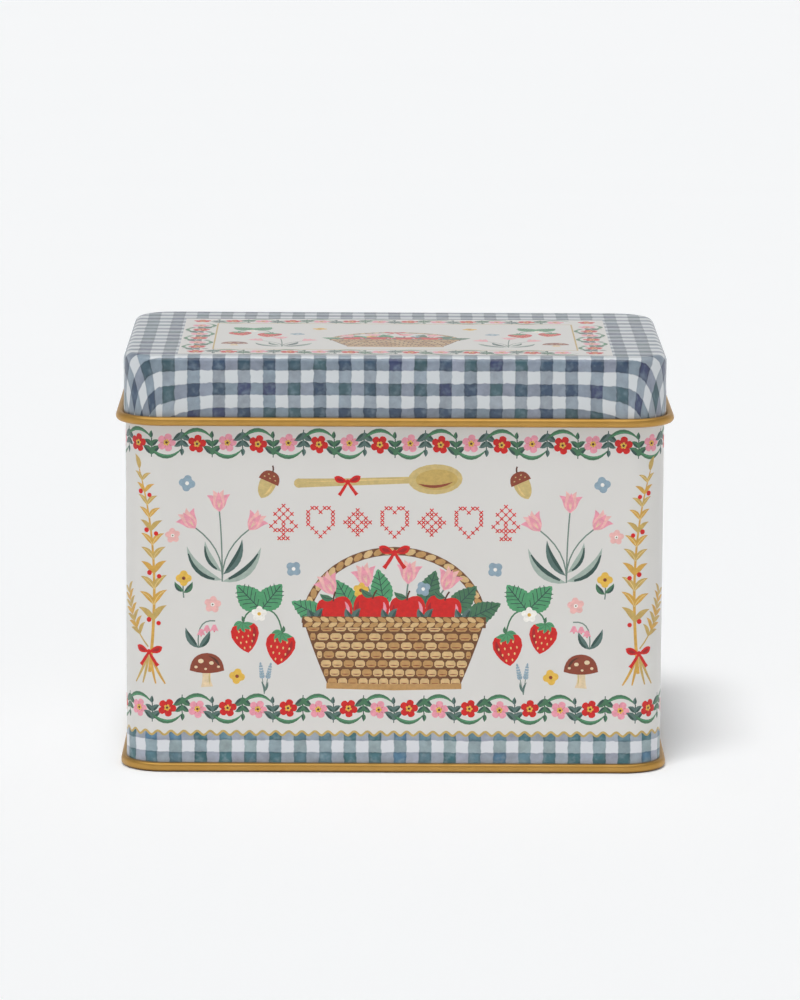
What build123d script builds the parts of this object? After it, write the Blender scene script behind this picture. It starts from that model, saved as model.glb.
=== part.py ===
"""Hinged tinplate box for a file of index cards, with tabbed guides and packets of cards.

Frame: +Z up, the front faces -Y, X to the right, origin under the middle of the base.
All lengths are in millimetres and all angles in degrees.
"""
import math
import os

from build123d import *

# ---------------------------------------------------------------- driving dimensions
# Index cards and guides, which set the size of the box
card_width = 152.4
card_height = 101.6
card_sheet = 0.28
card_gap = 0.12             # air between two cards
card_corner = 2.5
cards_in_packet = 7
guide_sheet = 0.5
guide_count = 8
tab_width = 44.0
tab_height = 12.0
tab_corner = 3.5
tab_foot = 2.0              # radius where a tab rises from its guide
tab_inset = 1.0
tab_columns = 3
file_lean = 8.0             # the file leans back by this angle
file_gap = 1.15             # between a packet and the next guide, along the floor
rest_gap = 0.3              # under the cards and behind the last one

# Tinplate box
sheet = 0.28                # thickness of all the pressed tinplate
side_room = 7.52            # between the cards and each side wall
head_room = 2.6             # between the guides' tabs and the box's upper edge
body_depth = 102.7          # over the outside of the front and rear walls
body_corner = 12.0          # outside corner radius in plan
hem_radius = 0.9            # rolled edge at the top, turned inward
hem_angle = 235.0           # how far round that edge is rolled

# Base, a pressed pan whose rim is curled over the foot of the wall
rim_height = 2.85
rim_reach = 1.8             # how far the curled rim stands out from the wall
rim_bend = 0.75             # inside bend radius of the curled rim
foot_flange = 0.9           # flange of the wall that the rim grips
flange_bend = 0.3
seam_gap = 0.05             # between the sheets of the curled seam
pan_rise = 3.08             # upper face of the pan's border above the table
pan_step = 0.5              # the middle of the pan lies this much lower
pan_border = 5.0            # width of the raised border
step_run = 0.8
step_bend = 0.6

# Lid
lid_clearance = 0.3         # round the body, on every side
lid_rise = 13.4             # top of the lid above the body's upper edge
lid_overlap = 6.8           # the body's upper edge above the hinge axis
lid_edge = 2.5              # outside radius along the top edge
lid_lip = 1.0               # width of the drawn lip beyond that radius, under the flat top
bead_angle = 315.0          # how far round the lid's lower edge is rolled

# Hinge
wire_radius = 1.0
wire_room = 0.12            # between the wire and the bead that holds it
wire_inset = 7.0            # the wire ends this far from the rear corners
wire_chamfer = 0.3
strap_fit = 0.05            # running gap between wire and strap
strap_sheet = 0.35
strap_width = 14.4
strap_spacing = 76.0        # between the middles of the two straps
strap_length = 17.0         # from the hinge axis down to the strap's lower end
strap_angle = 250.0
strap_bend = 0.7
strap_corner = 2.0
weld_radius = 1.1
weld_depth = 0.12
notch_gap = 0.3             # between a strap and the sides of its notch in the lid
notch_rise = 0.35           # between a strap's curl and the upper edge of its notch

# Folded side seam of the wall, on the rear face
seam_inset = 10.0           # from the rear corner's bend to the middle of the seam
seam_width = 5.0
seam_thickness = 0.45
seam_margin = 2.0           # the seam ends this far from rim and bead

# ---------------------------------------------------------------- derived places
half = sheet / 2
lean = math.radians(file_lean)
floor_z = pan_rise - pan_step
card_foot_z = floor_z + rest_gap
body_width = card_width + 2 * (side_room + sheet)
body_height = card_foot_z + (card_height + tab_height) * math.cos(lean) + head_room
wall_x = body_width / 2
wall_y = body_depth / 2
lid_height = body_height + lid_rise
lid_inner_x = wall_x + lid_clearance
lid_inner_y = wall_y + lid_clearance
lid_inner_corner = body_corner + lid_clearance
bead_radius = wire_radius + wire_room + sheet
hinge_y = lid_inner_y + bead_radius
hinge_z = body_height - lid_overlap
strap_places = {"left": -strap_spacing / 2, "right": strap_spacing / 2}
card_step = (card_sheet + card_gap) / math.cos(lean)
first_card = (guide_sheet + card_gap) / math.cos(lean)
file_pitch = first_card + cards_in_packet * card_step + file_gap
corner_reach = max(0.0, body_corner - sheet - side_room)
rear_y = wall_y - body_corner + math.sqrt((body_corner - sheet) ** 2 - corner_reach ** 2)
last_card_y = rear_y - rest_gap - card_height * math.sin(lean) - card_sheet * math.cos(lean)
last_guide_y = last_card_y - (cards_in_packet - 1) * card_step - first_card

os.makedirs("parts", exist_ok=True)


def plan_line(width, depth, corner):
    """Closed rounded rectangle in plan that starts at the middle of its right side."""
    with BuildLine() as plan:
        FilletPolyline(
            (width / 2, 0), (width / 2, depth / 2), (-width / 2, depth / 2),
            (-width / 2, -depth / 2), (width / 2, -depth / 2),
            radius=[0, corner, corner, corner, corner], close=True,
        )
    return plan.wires()[0]


def guide_y(number):
    """Place of a guide's foot along Y; guide 1 stands at the front."""
    return last_guide_y - (guide_count - number) * file_pitch


def card_plane(foot_y):
    """Plane of a leaning card's front face, x across and y up the card."""
    return Plane(
        origin=(0, foot_y, card_foot_z),
        x_dir=(1, 0, 0),
        z_dir=(0, -math.cos(lean), math.sin(lean)),
    )


def keep(part, name):
    """Label a finished piece and write it under the same name."""
    part.label = name
    export_step(part, f"parts/{name}.step")


# ---------------------------------------------------------------- body wall
# One strip of tinplate, flanged outward at the foot and rolled inward at the top.
# Each section is a line along the middle of the sheet.
hem_z = body_height - hem_radius
flange_z = sheet + seam_gap + half
with BuildPart() as body_wall:
    with BuildSketch(Plane.XZ):
        with BuildLine():
            FilletPolyline(
                (wall_x + foot_flange, flange_z), (wall_x - half, flange_z), (wall_x - half, hem_z),
                radius=flange_bend + half,
            )
            CenterArc((wall_x - hem_radius, hem_z), hem_radius - half, 0, hem_angle)
        trace(line_width=sheet)
    sweep(path=plan_line(body_width, body_depth, body_corner))
    # Folded side seam, standing out from the rear face
    seam_foot = rim_height + seam_margin
    seam_top = hinge_z - bead_radius - seam_margin
    with BuildSketch(Plane.XY.offset(seam_foot)) as seam_section:
        with Locations((wall_x - body_corner - seam_inset, wall_y)):
            Rectangle(seam_width, seam_thickness, align=(Align.CENTER, Align.MIN))
        fillet(seam_section.vertices().group_by(Axis.Y)[-1], radius=0.8 * seam_thickness)
    extrude(amount=seam_top - seam_foot)
keep(body_wall.part, "body_wall")

# ---------------------------------------------------------------- base pan
# A stepped pan that fits inside the wall, with its rim curled up round the wall's flange.
chuck_x = wall_x - sheet - seam_gap - half
border_x = chuck_x - pan_border
step_x = border_x - step_run
middle_x = step_x - 2 * step_bend
rim_x = wall_x + rim_reach - half
with BuildPart() as base_pan:
    with BuildSketch(Plane.XZ):
        with BuildLine():
            FilletPolyline(
                (middle_x, floor_z - half), (step_x, floor_z - half), (border_x, pan_rise - half),
                (chuck_x, pan_rise - half), (chuck_x, half), (rim_x, half),
                (rim_x, rim_height - half), (wall_x + seam_gap, rim_height - half),
                radius=[step_bend, step_bend, rim_bend, flange_bend + half,
                        rim_bend + half, rim_bend + half],
            )
        trace(line_width=sheet)
    sweep(path=plan_line(body_width, body_depth, body_corner))
    inset = wall_x - middle_x
    with BuildSketch(Plane.XY.offset(floor_z)):
        RectangleRounded(body_width - 2 * inset, body_depth - 2 * inset, body_corner - inset)
    extrude(amount=-sheet)
keep(base_pan.part, "base_pan")

# ---------------------------------------------------------------- lid
# A drawn cap with a soft top edge; its lower edge is rolled outward into a bead.
lid_x = lid_inner_x + half
top_inset = lid_edge + lid_lip
with BuildPart() as lid:
    with BuildSketch(Plane.XZ):
        with BuildLine():
            FilletPolyline(
                (lid_inner_x - top_inset, lid_height - half), (lid_x, lid_height - half),
                (lid_x, hinge_z),
                radius=lid_edge - half,
            )
            CenterArc((lid_inner_x + bead_radius, hinge_z), bead_radius - half, 180, bead_angle)
        trace(line_width=sheet)
    sweep(path=plan_line(2 * lid_inner_x, 2 * lid_inner_y, lid_inner_corner))
    with BuildSketch(Plane.XY.offset(lid_height)):
        RectangleRounded(
            2 * (lid_inner_x - top_inset), 2 * (lid_inner_y - top_inset),
            lid_inner_corner - top_inset,
        )
    extrude(amount=-sheet)
    # Notches in the rear wall and bead, one for each strap
    notch_height = 2 * (bead_radius + notch_rise)
    with BuildSketch(Plane.XZ.offset(-hinge_y)):
        with Locations(*[(x, hinge_z) for x in strap_places.values()]):
            Rectangle(strap_width + 2 * notch_gap, notch_height)
    extrude(amount=2 * bead_radius, both=True, mode=Mode.SUBTRACT)
keep(lid.part, "lid")

# ---------------------------------------------------------------- hinge wire
# A straight wire in the lid's rear bead, round which the straps turn.
wire_length = body_width - 2 * (body_corner + wire_inset)
with BuildPart() as hinge_wire:
    with BuildSketch(Plane.YZ.offset(-wire_length / 2)):
        with Locations((hinge_y, hinge_z)):
            Circle(wire_radius)
    extrude(amount=wire_length)
    chamfer(hinge_wire.edges().filter_by(GeomType.CIRCLE), length=wire_chamfer)
keep(hinge_wire.part, "hinge_wire")


# ---------------------------------------------------------------- hinge straps
def make_strap(middle_x):
    """A strip welded flat on the rear wall, stepped out and curled over the wire."""
    curl_radius = wire_radius + strap_fit + strap_sheet / 2
    flat_y = wall_y + strap_sheet / 2
    raised_y = hinge_y - curl_radius
    foot_z = hinge_z - strap_length
    step_z = hinge_z - curl_radius - 2 * strap_bend
    step_foot_z = step_z - 2 * (raised_y - flat_y)
    with BuildPart() as strap:
        with BuildSketch(Plane.YZ.offset(middle_x - strap_width / 2)):
            with BuildLine():
                FilletPolyline(
                    (flat_y, foot_z), (flat_y, step_foot_z), (raised_y, step_z), (raised_y, hinge_z),
                    radius=strap_bend,
                )
                CenterArc((hinge_y, hinge_z), curl_radius, 180, -strap_angle)
            trace(line_width=strap_sheet)
        extrude(amount=strap_width)
        fillet(strap.edges().filter_by(Axis.Y).group_by(Axis.Z)[0], radius=strap_corner)
        # Two spot welds, pressed into the outer face
        with BuildSketch(Plane.XZ.offset(-wall_y - strap_sheet)):
            with Locations((middle_x, (foot_z + step_foot_z) / 2)):
                with GridLocations(strap_width / 2, 0, 2, 1):
                    Circle(weld_radius)
        extrude(amount=weld_depth, taper=20, mode=Mode.SUBTRACT)
    return strap.part


for side, middle in strap_places.items():
    keep(make_strap(middle), f"hinge_strap_{side}")


# ---------------------------------------------------------------- guides and cards
def make_guide(number):
    """A stiff guide sheet whose tab stands in one of the columns across the box."""
    column = (number - 1) % tab_columns
    room = card_width - tab_width - 2 * (card_corner + tab_foot + tab_inset)
    tab_x = room * (column / (tab_columns - 1) - 0.5)
    with BuildPart() as guide:
        with BuildSketch(card_plane(guide_y(number))) as outline:
            with Locations((0, card_height / 2)):
                RectangleRounded(card_width, card_height, card_corner)
            with Locations((tab_x, card_height)):
                Rectangle(tab_width, 2 * tab_height)
            tab_tips = outline.vertices().group_by(Axis.Y)[-1]
            fillet(tab_tips, radius=tab_corner)
            tab_feet = outline.vertices().filter_by_position(
                Axis.Y, card_height - tab_foot / 4, card_height + tab_foot / 4
            ).filter_by_position(
                Axis.X, tab_x - tab_width / 2 - tab_foot, tab_x + tab_width / 2 + tab_foot
            )
            fillet(tab_feet, radius=tab_foot)
        extrude(amount=-guide_sheet)
    return guide.part


def make_packet(number):
    """The loose cards that stand behind one guide, each on the floor by itself."""
    with BuildPart() as packet:
        for card in range(cards_in_packet):
            foot_y = guide_y(number) + first_card + card * card_step
            with BuildSketch(card_plane(foot_y)):
                with Locations((0, card_height / 2)):
                    RectangleRounded(card_width, card_height, card_corner)
            extrude(amount=-card_sheet)
    return packet.part


for number in range(1, guide_count + 1):
    keep(make_guide(number), f"guide_{number}")
    keep(make_packet(number), f"cards_{number}")
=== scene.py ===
# A printed tinplate card box with a hinged lid, photographed on a pale floor.
import math
import random

import bpy
from mathutils import Matrix, Vector
from mathutils.geometry import delaunay_2d_cdt


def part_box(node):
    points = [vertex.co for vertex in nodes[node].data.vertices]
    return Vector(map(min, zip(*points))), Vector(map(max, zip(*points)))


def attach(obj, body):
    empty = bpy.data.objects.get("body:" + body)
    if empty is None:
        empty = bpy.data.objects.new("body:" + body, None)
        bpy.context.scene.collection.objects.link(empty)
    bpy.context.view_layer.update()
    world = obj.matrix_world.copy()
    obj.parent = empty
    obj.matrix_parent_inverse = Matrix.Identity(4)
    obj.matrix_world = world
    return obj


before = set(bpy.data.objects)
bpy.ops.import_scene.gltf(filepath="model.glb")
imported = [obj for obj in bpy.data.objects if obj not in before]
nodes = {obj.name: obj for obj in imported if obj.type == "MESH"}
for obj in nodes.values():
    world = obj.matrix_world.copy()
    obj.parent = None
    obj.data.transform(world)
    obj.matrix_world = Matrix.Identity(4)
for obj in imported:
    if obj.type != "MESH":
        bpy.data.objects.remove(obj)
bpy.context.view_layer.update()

bpy.ops.object.select_all(action="DESELECT")

# ---------------------------------------------------------------- the box's sizes, in millimetres
MM = 0.001                  # a millimetre in the scene's metres
SHEET = 0.28
FOOT_FLANGE = 0.9
BODY_CORNER = 12.0
LID_CLEARANCE = 0.3
LID_EDGE = 2.5              # radius of the lid's rounded top edge
BEAD_RADIUS = 1.4
RIM_TOP = 2.85              # height of the base's rim

body_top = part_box("body_wall")[1].z / MM
wall_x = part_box("body_wall")[1].x / MM - FOOT_FLANGE
wall_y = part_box("body_wall")[1].y / MM - FOOT_FLANGE
lid_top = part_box("lid")[1].z / MM
lid_x = wall_x + LID_CLEARANCE + SHEET
lid_y = wall_y + LID_CLEARANCE + SHEET
lid_corner = BODY_CORNER + LID_CLEARANCE + SHEET
bead_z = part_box("lid")[0].z / MM + BEAD_RADIUS

# ---------------------------------------------------------------- the print's layout
SEAM_CENTRE = 62.0          # from the middle of the back to the seam
SEAM_STRIP = 7.0            # bare strip that the print leaves along the seam
PRINT_FOOT = RIM_TOP + 0.05
PRINT_TOP = body_top - 1.0
CHECK_PITCH = 7.8           # the woven check: one dark and one light stripe
FOOT_ROW_PITCH = 7.6        # its rows round the foot lie a little closer
WAVE_HEIGHT = 12.3          # middle of the wavy gold line above the foot's check
WAVE_PITCH = 4.1
WAVE_SWING = 0.65
WAVE_WIDTH = 0.7
BORDER_PITCH = 18.9         # one repeat of the garland of flowers
TOP_BORDER = 104.1
FOOT_BORDER = 20.1
COAT_TOP = 0.06             # the printed coat's outer and inner skins, above the bare metal
COAT_FOOT = 0.02

INKS = {
    "ground": "#DDDBD7", "red": "#D01712", "crimson": "#A5131A", "pink": "#EA9BAB", "rose": "#D9757F",
    "blush": "#EDB7B2", "green": "#4F9B6B", "leaf": "#457555", "bottle": "#34504A", "sage": "#A3B3A9",
    "slate green": "#55706A", "tan": "#CBB477", "ochre": "#D2A348", "straw": "#E2C684", "brown": "#8C412B",
    "umber": "#57301F", "cream": "#E3CDA8", "yellow": "#E6B94A", "blue": "#8FA6B5", "white": "#F4F1EA",
    "gold": "#C4A65E", "stem": "#6D8378", "wicker": "#D6B580", "cane": "#BD925A", "shadow": "#6E4527",
}
CHECK = "check"             # not an ink: the shader paints the woven check there
hand = random.Random(23)


def srgb(text):
    """A colour such as #C9A24A as the linear values that a shader takes."""
    parts = [int(text[i:i + 2], 16) / 255 for i in (1, 3, 5)]
    return tuple(p / 12.92 if p <= 0.04045 else ((p + 0.055) / 1.055) ** 2.4 for p in parts) + (1.0,)


# ---------------------------------------------------------------- shading kit
def operator(name, turned=False):
    """The method behind one of Python's operators, turned where the Wire stands on the right."""
    def method(self, other):
        return self.finish.maths(name, *((other, self) if turned else (self, other)))
    return method


class Wire:
    """One value in a shader. Python's operators on it add Math nodes."""

    def __init__(self, finish, node, index):
        self.finish, self.node, self.index = finish, node, index

    @property
    def socket(self):
        return self.node.outputs[self.index]

    def output(self, index):
        return Wire(self.finish, self.node, index)

    def __abs__(self):
        return self.finish.maths("ABSOLUTE", self)

    __add__ = __radd__ = operator("ADD")
    __mul__ = __rmul__ = operator("MULTIPLY")
    __sub__, __rsub__ = operator("SUBTRACT"), operator("SUBTRACT", True)
    __truediv__, __rtruediv__ = operator("DIVIDE"), operator("DIVIDE", True)
    __gt__, __lt__ = operator("GREATER_THAN"), operator("LESS_THAN")


class Shader:
    """A node tree in the making."""

    def __init__(self, tree):
        self.tree = tree

    def feed(self, socket, value):
        if isinstance(value, Wire):
            self.tree.links.new(value.socket, socket)
        else:
            socket.default_value = value

    def node(self, kind, settings=None, sockets=None, output=0):
        """Adds a node: its settings first, then the values or links of its sockets."""
        made = self.tree.nodes.new(kind)
        for name, value in (settings or {}).items():
            setattr(made, name, value)
        for name, value in (sockets or {}).items():
            self.feed(made.inputs[name], value)
        return Wire(self, made, output)

    def maths(self, operation, *values):
        return self.node("ShaderNodeMath", {"operation": operation}, dict(enumerate(values)))

    def at_least(self, value, low):
        return self.maths("MAXIMUM", value, low)

    def at_most(self, value, high):
        return self.maths("MINIMUM", value, high)

    def nearest(self, value):
        """The nearest whole number."""
        return self.maths("ROUND", value)

    def ramp(self, value, start, end):
        """A smooth step from 0 at start to 1 at end."""
        sockets = {"Value": value, "From Min": start, "From Max": end}
        return self.node("ShaderNodeMapRange", {"interpolation_type": "SMOOTHSTEP"}, sockets)

    def mix(self, amount, first, second):
        """The first colour where amount is 0, the second where it is 1."""
        return self.node("ShaderNodeMix", {"data_type": "RGBA"}, {0: amount, 6: first, 7: second}, 2)

    def shade(self, colour, amount):
        """The colour times a value: below 1 is darker, above 1 is lighter."""
        grey = self.node("ShaderNodeCombineColor", {}, {0: amount, 1: amount, 2: amount})
        settings = {"data_type": "RGBA", "blend_type": "MULTIPLY"}
        return self.node("ShaderNodeMix", settings, {0: 1.0, 6: colour, 7: grey}, 2)

    def in_millimetres(self, place):
        return self.node("ShaderNodeVectorMath", {"operation": "SCALE"}, {0: place, "Scale": 1 / MM})

    def object_place(self):
        """The object's own coordinates in millimetres."""
        return self.in_millimetres(self.node("ShaderNodeTexCoord", output=3))

    def sheet_place(self):
        """The place on the flat print in millimetres, from the piece's own map."""
        return self.in_millimetres(self.node("ShaderNodeUVMap", {"uv_map": "flat print"}))

    def stretch(self, place, factors):
        """The place with each of its coordinates times its own factor."""
        return self.node("ShaderNodeVectorMath", {"operation": "MULTIPLY"}, {0: place, 1: factors})

    def split(self, vector):
        parts = self.node("ShaderNodeSeparateXYZ", {}, {0: vector})
        return parts, parts.output(1), parts.output(2)

    def join(self, x, y, z=0.0):
        return self.node("ShaderNodeCombineXYZ", {}, {0: x, 1: y, 2: z})

    def noise(self, place, size, detail=2.0, roughness=0.5):
        """Soft noise from 0 to 1 whose blotches are about size across, in the units of place."""
        sockets = {"Vector": place, "Scale": 1 / size, "Detail": detail, "Roughness": roughness}
        return self.node("ShaderNodeTexNoise", {}, sockets)

    def sway(self, place, size, detail=2.0, roughness=0.5):
        """The same noise from -0.5 to 0.5."""
        return self.noise(place, size, detail, roughness) - 0.5

    def chance(self, x, y):
        """A steady random value from 0 to 1 for each pair of whole numbers."""
        settings = {"noise_dimensions": "2D"}
        return self.node("ShaderNodeTexWhiteNoise", settings, {"Vector": self.join(x, y)})

    def bump(self, height, depth, strength):
        """A relief whose depth is in millimetres."""
        sockets = {"Height": height, "Distance": depth * MM, "Strength": strength}
        return self.node("ShaderNodeBump", {}, sockets)


class Finish(Shader):
    """A material in the making, on its principled shader."""

    def __init__(self, name):
        self.material = bpy.data.materials.new(name)
        self.material.use_nodes = True
        super().__init__(self.material.node_tree)
        self.surface = self.tree.nodes["Principled BSDF"]

    def set(self, **values):
        """Sets the shader's sockets, with the words of a socket's name joined by _."""
        for name, value in values.items():
            self.feed(self.surface.inputs[name.replace("_", " ").title().replace("Ior", "IOR")], value)

    def dress(self, *objects):
        for piece in objects:
            piece.data.materials.clear()
            piece.data.materials.append(self.material)


# ---------------------------------------------------------------- paint
LID_CHECK = {
    "bare": "#D2D7DA", "down": "#8797A4", "down too": "#98A0A9", "along": "#8990A0", "along too": "#7C8D99",
    "cross": "#314762", "cross too": "#385962", "navy": "#343F64", "bloom": "#7D919F",
}
FOOT_CHECK = {
    "bare": "#DCDFE4", "down": "#8C9FA8", "down too": "#9BACAE", "along": "#A2A7B6", "along too": "#99A5AF",
    "cross": "#3F6E77", "cross too": "#5F8290", "navy": "#547C98", "bloom": "#93A9B1",
}
HALF_STRIPE = 0.25          # half a dark stripe, in pitches of the check
SOFT_EDGE = 0.022           # how far its edge is blurred
CLEAR_HEART = 0.13          # half of its middle part, where no ink has pooled
NAVY_FROM = 0.84            # the chance from which a crossing is navy
VARNISH = 0.4               # weight of the clear coat over the ink
VARNISH_ROUGHNESS = 0.2


def stripes(f, place):
    """How far a place lies in a dark stripe, the stripe's number, and how near the place is to its edge."""
    number = f.nearest(place)
    off = abs(place - number)
    inside = f.ramp(off, HALF_STRIPE + SOFT_EDGE, HALF_STRIPE - SOFT_EDGE)
    return inside, number, f.ramp(off, CLEAR_HEART, HALF_STRIPE)


def woven_check(f, across, down, inks):
    """A brushed check, on a place counted in pitches: upright and level stripes that are darkest where they
    cross, each stripe and cell in its own tone."""
    tint = {name: srgb(value) for name, value in inks.items()}
    spot = f.join(across, down)
    wobble = f.sway(spot, 0.28, 1.0) * 0.10
    drift = f.sway(spot, 1.9, 1.0) * 0.08
    upright, column, side = stripes(f, across + wobble + drift)
    level, row, brim = stripes(f, down - wobble + drift)
    half_column, half_row = f.nearest(across * 2), f.nearest(down * 2)
    down_ink = f.mix(f.chance(column, 3.0), tint["down"], tint["down too"])
    along_ink = f.mix(f.chance(row, half_column), tint["along"], tint["along too"])
    cross_ink = f.mix(f.ramp(f.chance(column, row), 0.3, 0.7), tint["cross"], tint["cross too"])
    cross_ink = f.mix(f.chance(row, column) > NAVY_FROM, cross_ink, tint["navy"])
    bloom = f.ramp(f.noise(f.join(across, down, 4.0), 0.33, 2.0, 0.6), 0.42, 0.74)
    cross_ink = f.mix(bloom * 0.42, cross_ink, tint["bloom"])
    plain = f.mix(upright, tint["bare"], down_ink)
    crossed = f.mix(upright, along_ink, cross_ink)
    painted = f.mix(level, plain, crossed)
    # The ink is brushed unevenly, and pools along the edges, most where two stripes cross.
    wash = f.sway(spot, 0.42, 3.0, 0.6) * 0.8
    cell = (f.chance(half_column, half_row) - 0.5) * 0.2
    uneven = f.at_least(upright, level) * (wash + cell)
    crossing_pool = f.at_most(upright, level) * f.at_least(side, brim) * 0.22
    stripe_pool = (upright * side + level * brim) * 0.05
    return f.shade(painted, 1 + uneven - (crossing_pool + stripe_pool))


def orange_peel(f, place):
    """The faint relief of stoved varnish."""
    return f.bump(f.noise(place, 0.9, 1.0), 0.004, 0.25)


def outside_core(f, x, y, core_x, core_y):
    """How far a place lies outside an inner rectangle: along x, along y, and straight."""
    out_x = f.at_least(abs(x) - core_x, 0.0)
    out_y = f.at_least(abs(y) - core_y, 0.0)
    return out_x, out_y, f.maths("SQRT", out_x * out_x + out_y * out_y)


def lid_shape(f, x, y, z):
    """Where a place lies on the drawn lid: its depth outside the wall, and its place on the flat sheet."""
    core_x = lid_x - lid_corner
    core_y = lid_y - lid_corner
    fold_z = lid_top - LID_EDGE
    fold_r = lid_corner - LID_EDGE
    out_x, out_y, out = outside_core(f, x, y, core_x, core_y)
    over_side = f.at_least(out - fold_r, 0.0)
    over_top = f.at_least(z - fold_z, 0.0)
    shell = f.maths("SQRT", over_side * over_side + over_top * over_top) - LID_EDGE
    drawn = LID_EDGE * f.maths("ARCTAN2", over_side, over_top) + f.at_least(fold_z - z, 0.0)
    # The corner's metal is drawn out thin, so the print there covers more height than along the sides.
    # The change from the one to the other starts on the straight and ends some way into the round.
    stretched = f.maths("SQRT", fold_r * fold_r + 2 * fold_r * drawn) - fold_r
    straight_part, round_part = 20.0, lid_corner * 0.7
    near = f.at_most(abs(x) - (core_x - straight_part), abs(y) - (core_y - straight_part))
    share = f.at_least(f.at_most(near / (straight_part + round_part), 1.0), 0.0)
    share = share * share
    flat = f.at_most(out, fold_r) + drawn * (1 - share) + stretched * share
    tiny = 0.001                # keeps the middle of the lid from a division by 0
    scale = flat / f.at_least(out, tiny)
    flat_x = (f.at_most(abs(x), core_x) + out_x * scale) * f.maths("SIGN", x)
    flat_y = (f.at_most(abs(y), core_y) + out_y * scale) * f.maths("SIGN", y)
    return shell, out - lid_corner, flat_x, flat_y


def gold_lacquer(f, place):
    """Gold-lacquered metal: a warm base with faint streaks."""
    streak = f.noise(place, 5.0, 3.0)
    return f.mix(streak, srgb("#B68A3F"), srgb("#C59A53"))


def tinplate(f, place):
    """Bright tinplate: fine grain and broad, faint spangle."""
    grain = f.noise(f.stretch(place, (0.3, 0.3, 4.0)), 1.6, 3.0) * 0.12
    cloud = f.noise(place, 9.0)
    colour = f.mix(cloud, srgb("#B9B8B2"), srgb("#CFCEC8"))
    return f.shade(colour, 0.94 + grain), 0.24 + grain + cloud * 0.05


def lid_finish():
    """The lid: check-printed outside, gold on its rolled edge, bright tinplate inside."""
    f = Finish("printed lid")
    place = f.object_place()
    x, y, z = f.split(place)
    shell, beyond, flat_x, flat_y = lid_shape(f, x, y, z)
    first_row, bead_start, bead_half_height = 53.15, 0.2, 1.2
    print_ink = woven_check(f, flat_x / CHECK_PITCH, (flat_y + first_row) / CHECK_PITCH, LID_CHECK)
    outside = shell > -SHEET / 2
    bead = f.at_least(beyond > bead_start, z < bead_z + bead_half_height)
    inked = outside * (1 - bead)
    bare = (1 - outside) * (1 - bead)
    tin, tin_rough = tinplate(f, place)
    metal = f.mix(bead, tin, gold_lacquer(f, place))
    smooth = 0.30 + f.noise(place, 14.0) * 0.08 + bead * 0.06
    f.set(base_color=f.mix(inked, metal, print_ink), metallic=bare * 0.95 + bead * 0.75)
    f.set(roughness=bare * tin_rough + (1 - bare) * smooth, normal=orange_peel(f, place))
    f.set(coat_weight=inked * VARNISH, coat_roughness=VARNISH_ROUGHNESS)
    return f


def base_finish():
    """The base pan: gold-lacquered, with its inner floor left bright and painted shade along the underside of
    its hem.
    """
    f = Finish("gold base")
    place = f.object_place()
    x, y, z = f.split(place)
    _, _, out = outside_core(f, x, y, wall_x - BODY_CORNER, wall_y - BODY_CORNER)
    floor_edge, floor_low = BODY_CORNER - 0.3, 0.9
    inner = (out < floor_edge) * (z > floor_low)
    tin, tin_rough = tinplate(f, place)
    # Painted shade: the gold darkens towards the hem's underside, standing in for the contact shadow where
    # the rim meets the floor.
    hem_top, hem_foot = 1.1, 0.3
    gold = f.mix(f.ramp(z, hem_top, hem_foot) * 0.85, gold_lacquer(f, place), srgb("#4F3515"))
    f.set(base_color=f.mix(inner, gold, tin), metallic=0.75 + inner * 0.2)
    f.set(roughness=inner * tin_rough + (1 - inner) * (0.34 + f.noise(place, 6.0) * 0.1))
    f.set(normal=f.bump(f.noise(place, 1.1, 1.0), 0.004, 0.3))
    return f


def tin_finish(name, low, high):
    """Bare tinplate or steel between two tones."""
    f = Finish(name)
    place = f.object_place()
    tin, rough = tinplate(f, place)
    f.set(base_color=f.mix(0.35, tin, f.mix(f.noise(place, 3.0), srgb(low), srgb(high))), metallic=1.0)
    f.set(roughness=rough, normal=f.bump(f.noise(place, 0.5), 0.006, 0.3))
    return f


def print_finish():
    """The printed coat: each ink from its attribute, brushed unevenly, and the woven check round the foot.
    Varnish lies over both."""
    f = Finish("printed coat")
    place = f.sheet_place()
    u, v, _ = f.split(place)
    ink = f.node("ShaderNodeAttribute", {"attribute_name": "ink"})
    cover = ink.output(3)
    check = f.node("ShaderNodeAttribute", {"attribute_name": "check"}, output=2)
    first_column, first_row = 2.0, 4.35
    woven = woven_check(f, (u - first_column) / CHECK_PITCH, (v - first_row) / FOOT_ROW_PITCH, FOOT_CHECK)
    wash = f.sway(place, 1.5, 3.0, 0.6) * 0.55
    brush = f.sway(f.stretch(place, (1.0, 3.0, 1.0)), 0.9) * 0.22
    tone = f.sway(place, 25.0, 1.0) * 0.03
    painted = f.shade(ink, 1 + tone + cover * (wash + brush))
    f.set(base_color=f.mix(check, painted, woven), specular_ior_level=0.32)
    f.set(roughness=0.3 + f.noise(place, 14.0) * 0.08, normal=orange_peel(f, place))
    f.set(coat_weight=VARNISH * 0.7, coat_roughness=VARNISH_ROUGHNESS)
    return f


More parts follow.
